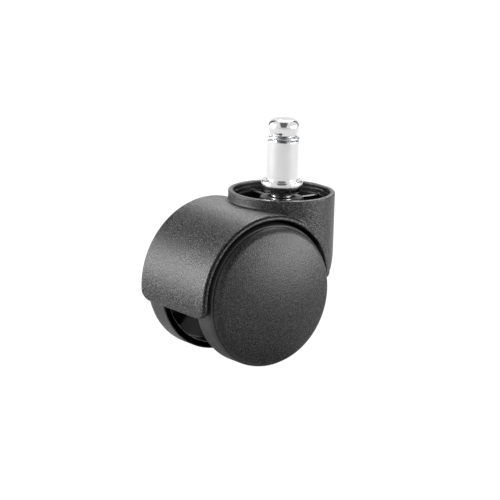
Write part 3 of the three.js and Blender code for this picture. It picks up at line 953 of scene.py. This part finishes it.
def wheel_rim():
    low = (-WHEEL_R, RIM_INNER, -WHEEL_R)
    high = (WHEEL_R, HUB_OUTER, WHEEL_R)
    return from_field("wheel_rim_left_moulding", rim_field, low, high, WHEEL_PITCH, WHEEL_PLACE)


def wheel_cover():
    """A corner round that runs into a shallow dome, hollow, with a skirt that snaps into the rim."""
    edge = RIM_OUTER + COVER_SEAM
    tilt = 90 - COVER_EDGE_TILT
    corner_start = math.degrees(math.asin(COVER_CORNER_SINK / COVER_CORNER))
    corner_r = COVER_HIGH[0] - AXLE_X - COVER_CORNER
    corner = arc_points((corner_r, edge - COVER_CORNER_SINK), COVER_CORNER, corner_start, tilt, 18)
    meet_r, meet_y, _ = corner[-1]
    dome_r = meet_r / math.sin(math.radians(COVER_EDGE_TILT))
    dome_y = meet_y - dome_r * math.cos(math.radians(COVER_EDGE_TILT))
    dome = arc_points((0, dome_y), dome_r, tilt, 90, 40)
    inside = arc_points((0, dome_y), dome_r - COVER_WALL, 90, tilt + 1, 12)
    skirt_outer = WHEEL_R - RIM_WALL - RUNNING
    skirt_inner = skirt_outer - COVER_SKIRT_WALL
    skirt_end = COVER_LOW[1]
    profile = [
        (0, dome_y + dome_r - COVER_WALL, None),
        *inside[1:],
        (skirt_inner, edge, 0.4),
        (skirt_inner, skirt_end, 0.25),
        (skirt_outer, skirt_end, 0.25),
        (skirt_outer, edge, 0.15),
        (corner[0][0], edge, 0.12),
        *corner[1:],
        *dome[1:-1],
        (0, dome_y + dome_r, None),
    ]
    return turned("wheel_cover_left_dome", profile, 192, WHEEL_PLACE, "y")


bush_r = BUSH_HIGH[2] - AXLE_Z
washer_r = WASHER_HIGH[2] - AXLE_Z
bush_profile = ring_profile(bush_r, AXLE_R + RUNNING, BUSH_LOW[1], BUSH_HIGH[1], BUSH_EDGE)
washer_profile = ring_profile(washer_r, AXLE_R + RUNNING, WASHER_LOW[1], WASHER_HIGH[1], WASHER_EDGE)


def axle_clip():
    """A split ring like the stem's, stood on the axle."""
    outer = CLIP_HIGH[2] - AXLE_Z
    thin = CLIP_HIGH[1] - CLIP_LOW[1]
    field = open_ring_field(outer, CLIP_GROOVE_R + SEATED, CLIP_GAP, 0, thin, RING_EDGE)
    made = from_field("axle_clip_left_ring", field, (-outer, -outer, 0), (outer, outer, thin), CLIP_PITCH)
    stand = Matrix.Translation((AXLE_X * MM, CLIP_LOW[1] * MM, AXLE_Z * MM))
    made.data.transform(stand @ Matrix.Rotation(-math.pi / 2, 4, "X"))
    return made


settle(axle(), "hood", "zinc_steel", "axle")

hub_bush = turned("hub_bush_left_tube", bush_profile, 96, WHEEL_PLACE, "y")
thrust_washer = turned("thrust_washer_left_disc", washer_profile, 96, WHEEL_PLACE, "y")

# The left wheel's pieces, each with its body, its material, its node and its own finish if it has one.
WHEEL_PIECES = [
    (wheel_rim(), "wheel_{}", "smooth_nylon", "wheel_rim_{}", None),
    (wheel_cover(), "wheel_{}", "textured_nylon", "wheel_cover_{}", "textured_nylon_cover"),
    (hub_bush, "wheel_{}", "acetal", "hub_bush_{}", None),
    (thrust_washer, "hood", "acetal", "thrust_washer_{}", None),
    (axle_clip(), "hood", "spring_steel", "axle_clip_{}", None),
]
for piece, body, material, node, finish in WHEEL_PIECES:
    twin = copy_turned(piece, piece.name.replace("left", "right"))
    settle(piece, body.format("left"), material, node.format("left"), finish)
    settle(twin, body.format("right"), material, node.format("right"), finish)

# ---------- Studio ----------

# Metres and degrees from here on.
CENTRE = Vector((AXLE_X, 0, AXLE_Z)) * MM
STEM_MIDDLE = Vector((0, 0, STEM_HIGH[2] / 2)) * MM
FLOOR_Z = (AXLE_Z - WHEEL_R) * MM
FLOOR_REACH = 30.0
TABLE_SUNK = 0.1 * MM
TABLE_ALBEDO = 0.37
TABLE_GLOW = 0.05
ROOM_LIGHT = 0.8
# The backdrop starts just under the horizon and closes overhead.
DOME_START = -5
DOME_RISE = 89
CORNERS = ((-1, -1), (1, -1), (1, 1), (-1, 1))
# The share of a card's half width over which it fades out.
CARD_FADE = 0.35
LIGHT_RAYS = ("diffuse", "glossy", "transmission", "volume_scatter", "shadow")

# Each light: azimuth and elevation in degrees; distance, width and height in metres; radiance.
LIGHTS = {
    "light_ahead_left": (148, 13, 1.0, 0.52, 0.62, 15.0),
    "light_behind_left": (120, 8, 1.0, 0.52, 0.34, 3.0),
    "light_behind_high": (45, 52, 1.0, 0.48, 0.42, 19.0),
    "light_right": (-45, 9, 1.0, 0.9, 0.34, 9.5),
}
# Each card has the same measures, with its glow last.
CARDS = {
    "card_front": (-128, 46, 0.8, 0.86, 1.7, 0.12),
    "card_table_front": (-128, -16, 0.8, 1.2, 0.42, 0.72),
    "card_left": (92, 20, 0.8, 0.34, 1.1, 0.05),
    "card_right": (18, 20, 0.8, 0.26, 0.9, 0.05),
}


def direction(azimuth, elevation):
    """The direction at an azimuth from +X and an elevation, in degrees."""
    a, e = math.radians(azimuth), math.radians(elevation)
    return Vector((math.cos(a) * math.cos(e), math.sin(a) * math.cos(e), math.sin(e)))


def soft_light(name, azimuth, elevation, distance, width, height, radiance):
    """A rectangular soft light facing the object, as bright as its radiance wherever it is seen from."""
    light = bpy.data.lights.new(name, "AREA")
    light.shape = "RECTANGLE"
    light.size, light.size_y = width, height
    light.energy = radiance * math.pi * width * height
    made = bpy.data.objects.new(name, light)
    out = direction(azimuth, elevation)
    made.location = CENTRE + out * distance
    made.rotation_mode = "QUATERNION"
    made.rotation_quaternion = out.to_track_quat("Z", "Y")
    made.visible_camera = False
    bpy.context.scene.collection.objects.link(made)


def plain_material(name, colour, glow):
    """A matt surface that shines by itself as well."""
    material = bpy.data.materials.new(name)
    material.use_nodes = True
    surface = material.node_tree.nodes["Principled BSDF"]
    surface.inputs["Base Color"].default_value = (*colour, 1)
    surface.inputs["Roughness"].default_value = 1.0
    surface.inputs["Specular IOR Level"].default_value = 0.0
    surface.inputs["Emission Color"].default_value = (1, 1, 1, 1)
    surface.inputs["Emission Strength"].default_value = glow
    return material


def soft_card_material(name, glow):
    """A card that is dense in the middle and fades out to nothing at its edges."""
    shader = Shader(name)
    tree = shader.tree
    tree.nodes.remove(shader.surface)
    centred = shader.node("ShaderNodeMapping", Location=(-1, -1, 0), Scale=(2, 2, 0))
    shader.link(tree.nodes["Texture Coordinate"].outputs["UV"], centred.inputs["Vector"])
    sides = shader.node("ShaderNodeSeparateXYZ")
    shader.link(centred.outputs["Vector"], sides.inputs["Vector"])
    cover = shader.node("ShaderNodeMath", operation="MULTIPLY")
    for i in range(2):
        off = shader.node("ShaderNodeMath", operation="ABSOLUTE")
        shader.link(sides.outputs[i], off.inputs[0])
        fade = shader.node("ShaderNodeMapRange", interpolation_type="SMOOTHSTEP")
        for key, number in (("From Min", 1 - CARD_FADE), ("To Min", 1), ("To Max", 0)):
            fade.inputs[key].default_value = number
        shader.link(off.outputs[0], fade.inputs["Value"])
        shader.link(fade.outputs["Result"], cover.inputs[i])
    glowing = shader.node("ShaderNodeEmission", Strength=glow)
    clear = shader.node("ShaderNodeBsdfTransparent")
    mixed = shader.node("ShaderNodeMixShader")
    shader.link(cover.outputs[0], mixed.inputs["Fac"])
    shader.link(clear.outputs["BSDF"], mixed.inputs[1])
    shader.link(glowing.outputs["Emission"], mixed.inputs[2])
    shader.link(mixed.outputs["Shader"], tree.nodes["Material Output"].inputs["Surface"])
    return shader.material


def flat_sheet(name, corners, material):
    """A four-cornered sheet of the studio, with its whole face mapped once."""
    mesh = bpy.data.meshes.new(name)
    mesh.from_pydata(corners, [], [(0, 1, 2, 3)])
    layer = mesh.uv_layers.new(name="whole")
    for loop, (u, v) in zip(layer.data, CORNERS):
        loop.uv = ((u + 1) / 2, (v + 1) / 2)
    mesh.materials.append(material)
    made = bpy.data.objects.new(name, mesh)
    bpy.context.scene.collection.objects.link(made)
    return made


def soft_card(name, azimuth, elevation, distance, width, height, glow):
    """A dim card that the bright metal reflects, and that neither lights the object nor shades it."""
    out = direction(azimuth, elevation)
    across = Vector((0, 0, 1)).cross(out).normalized()
    up = out.cross(across)
    middle = STEM_MIDDLE + out * distance
    corners = [middle + across * width * u / 2 + up * height * v / 2 for u, v in CORNERS]
    card = flat_sheet(name, corners, soft_card_material(name, glow))
    for way in ("camera", "diffuse", "shadow"):
        setattr(card, "visible_" + way, False)


def picture_only(sheet):
    """Lets the camera see a sheet that lights, shades and reflects nothing."""
    for way in LIGHT_RAYS:
        setattr(sheet, "visible_" + way, False)


def level_sheet(name, z, material):
    corners = [Vector((FLOOR_REACH * u, FLOOR_REACH * v, z)) for u, v in CORNERS]
    return flat_sheet(name, corners, material)


def backdrop():
    """A pale dome far behind the object, which only fills the picture."""
    mesh = bpy.data.meshes.new("studio_backdrop")
    around, rise = 48, 16
    points, faces = [], []
    for i in range(rise + 1):
        for j in range(around):
            points.append(direction(360 * j / around, DOME_RISE * i / rise + DOME_START) * FLOOR_REACH)
    for i in range(rise):
        for j in range(around):
            k = (j + 1) % around
            faces.append((i * around + j, (i + 1) * around + j, (i + 1) * around + k, i * around + k))
    faces.append(tuple(rise * around + j for j in range(around)))
    mesh.from_pydata(points, [], faces)
    mesh.materials.append(plain_material("studio_backdrop", (0.2, 0.2, 0.2), 1.0))
    dome = bpy.data.objects.new("studio_backdrop", mesh)
    bpy.context.scene.collection.objects.link(dome)
    picture_only(dome)


# The camera sees an overexposed white floor. A matt table just under it, which the camera can't see,
# takes the object's shade and reflects light up to it.
floor_finish = plain_material("studio_floor", (0.05, 0.05, 0.05), 1.0)
picture_only(level_sheet("studio_floor", FLOOR_Z, floor_finish))
table_finish = plain_material("studio_table", (TABLE_ALBEDO, TABLE_ALBEDO, TABLE_ALBEDO), TABLE_GLOW)
level_sheet("studio_table", FLOOR_Z - TABLE_SUNK, table_finish).visible_camera = False

for name, measures in LIGHTS.items():
    soft_light(name, *measures)
for name, measures in CARDS.items():
    soft_card(name, *measures)

backdrop()
world = bpy.data.worlds.new("white_room")
world.use_nodes = True
world.node_tree.nodes["Background"].inputs["Color"].default_value = (1, 1, 1, 1)
world.node_tree.nodes["Background"].inputs["Strength"].default_value = ROOM_LIGHT
bpy.context.scene.world = world
bpy.context.scene.view_settings.view_transform = "Standard"

# ---------- Camera ----------

# Angles in degrees and places in millimetres, solved from the outlines in the photograph.
CAMERA_AZIMUTH = -37.955
CAMERA_ELEVATION = 12.179
CAMERA_ROLL = 1.895
CAMERA_DISTANCE = 1009.7
CAMERA_LENS = 209.3
AIM_RIGHT = -10.98
AIM_UP = -20.8


def camera():
    """The camera stands off from the middle of the cup's rim and aims a little beside and below it."""
    a, e, roll = (math.radians(v) for v in (CAMERA_AZIMUTH, CAMERA_ELEVATION, CAMERA_ROLL))
    back = Vector((math.sin(a) * math.cos(e), -math.cos(a) * math.cos(e), math.sin(e)))
    level = Vector((math.cos(a), math.sin(a), 0))
    rise = back.cross(level)
    right = level * math.cos(roll) + rise * math.sin(roll)
    up = rise * math.cos(roll) - level * math.sin(roll)
    rim = Vector((0, 0, CUP_RIM))
    eye = rim + back * CAMERA_DISTANCE
    aim = rim + right * AIM_RIGHT + up * AIM_UP
    backwards = (eye - aim).normalized()
    across = (right - backwards * right.dot(backwards)).normalized()
    above = backwards.cross(across)
    data = bpy.data.cameras.new("camera")
    data.lens = CAMERA_LENS
    data.clip_start, data.clip_end = 0.05, 100
    made = bpy.data.objects.new("camera", data)
    bpy.context.scene.collection.objects.link(made)
    turn = Matrix((across, above, backwards)).transposed()
    made.matrix_world = Matrix.Translation(eye * MM) @ turn.to_4x4()
    bpy.context.scene.camera = made


camera()
